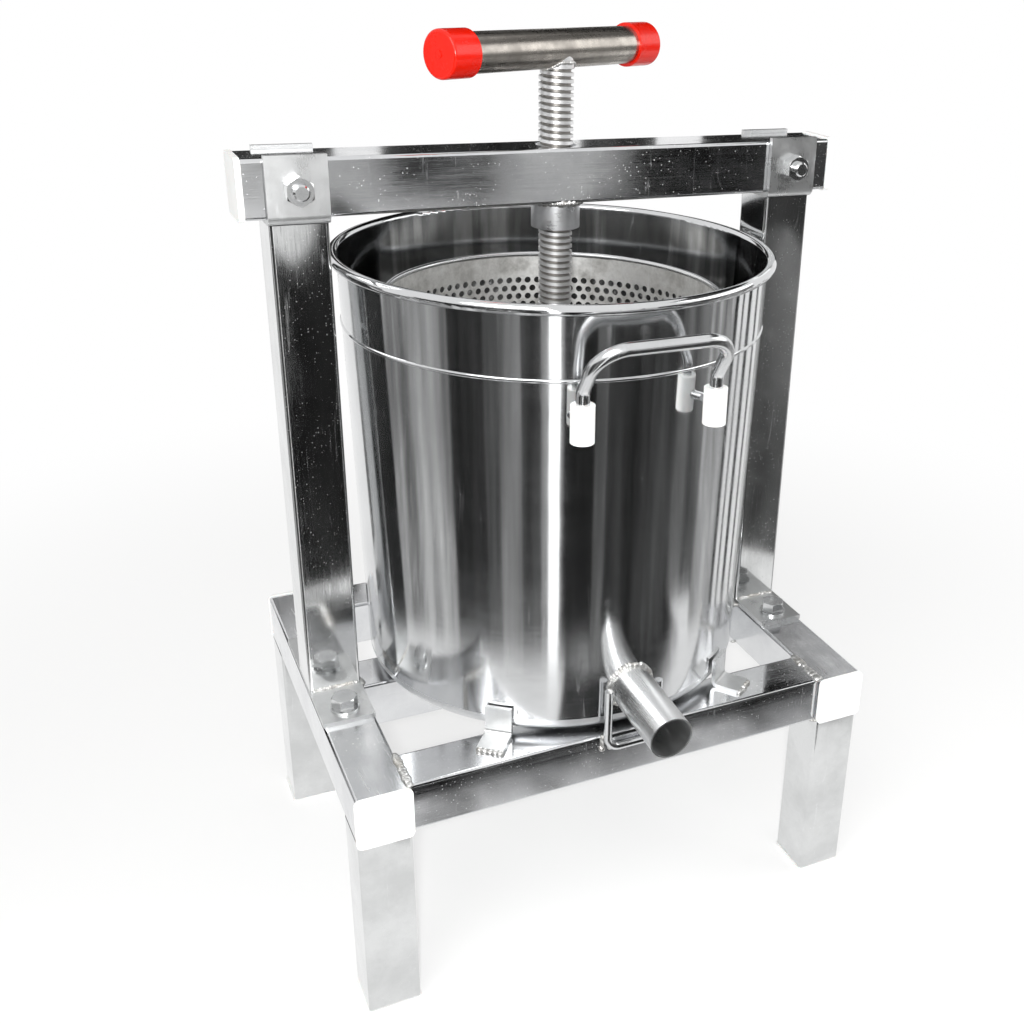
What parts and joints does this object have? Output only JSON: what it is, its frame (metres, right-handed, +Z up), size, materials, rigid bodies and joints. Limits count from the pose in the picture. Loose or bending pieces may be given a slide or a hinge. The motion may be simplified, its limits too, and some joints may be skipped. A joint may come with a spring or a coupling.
{
  "type": "manual fruit press",
  "caption": "Hand-turned fruit press: square-tube stand and beam, screw with a cross handle, press plate, perforated basket and a spouted juice tank.",
  "frame": {"origin": "on the floor, in the middle of the overall width and depth; the screw axis stands 17 mm behind it", "axes": "+X along the beam to the right, +Y to the rear (the spout points to -Y), +Z up"},
  "size_m": [0.582, 0.5298, 0.874],
  "materials": {
    "frame_steel": "polished stainless tube with fine scratches",
    "tank_steel": "stainless sheet brushed round the axis",
    "bolt_steel": "bright stainless fasteners",
    "screw_steel": "machined thread, bright on the crests",
    "white_plastic": "moulded polyethylene",
    "red_plastic": "glossy dipped vinyl",
    "bronze": "plain turned bronze"
  },
  "bodies": {
    "stand": {"left_rail": "frame_steel", "right_rail": "frame_steel", "front_rail": "frame_steel", "rear_rail": "frame_steel", "middle_rail": "frame_steel", "front_left_leg": "frame_steel", "front_right_leg": "frame_steel", "rear_left_leg": "frame_steel", "rear_right_leg": "frame_steel", "rail_caps": "white_plastic", "foot_caps": "white_plastic", "left_post": "frame_steel", "right_post": "frame_steel", "left_foot_plate": "frame_steel", "right_foot_plate": "frame_steel", "foot_bolts": "bolt_steel", "foot_washers": "bolt_steel", "foot_nuts": "bolt_steel", "left_saddle": "frame_steel", "right_saddle": "frame_steel", "beam": "frame_steel", "beam_caps": "white_plastic", "beam_bolts": "bolt_steel", "beam_nuts": "bolt_steel", "screw_nut": "frame_steel", "tank_stops": "frame_steel", "spout_stirrup": "bolt_steel", "tank_shell": "tank_steel", "tank_rim": "tank_steel", "tank_floor": "tank_steel", "spout": "tank_steel", "front_handle": "bolt_steel", "rear_handle": "bolt_steel", "handle_sleeves": "white_plastic", "handle_studs": "bolt_steel"},
    "basket": {"basket_shell": "tank_steel", "basket_rim": "tank_steel", "basket_floor": "tank_steel", "basket_feet": "tank_steel"},
    "press": {"press_plate": "tank_steel", "plate_ribs": "tank_steel", "plate_hub": "tank_steel", "hub_pins": "bolt_steel", "thrust_washer": "bronze"},
    "spindle": {"screw": "screw_steel", "t_bar": "frame_steel", "t_bar_caps": "red_plastic"}
  },
  "joints": [
    {"name": "press_travel", "type": "slide", "parent": "stand", "child": "press", "axis": [0, 0, 1], "range_m": [-0.0601, 0.3001]},
    {"name": "screw_turn", "type": "hinge", "parent": "press", "child": "spindle", "pos_m": [0, 0.017, 0], "axis": [0, 0, 1], "range_deg": [-3600, 18000]},
    {"name": "basket_turn", "type": "hinge", "parent": "stand", "child": "basket", "pos_m": [0, 0.017, 0], "axis": [0, 0, 1], "continuous": true}
  ],
  "couplings": [
    {"joint": "press_travel", "follows": "screw_turn", "m_per_rad": 0.00095493}
  ]
}
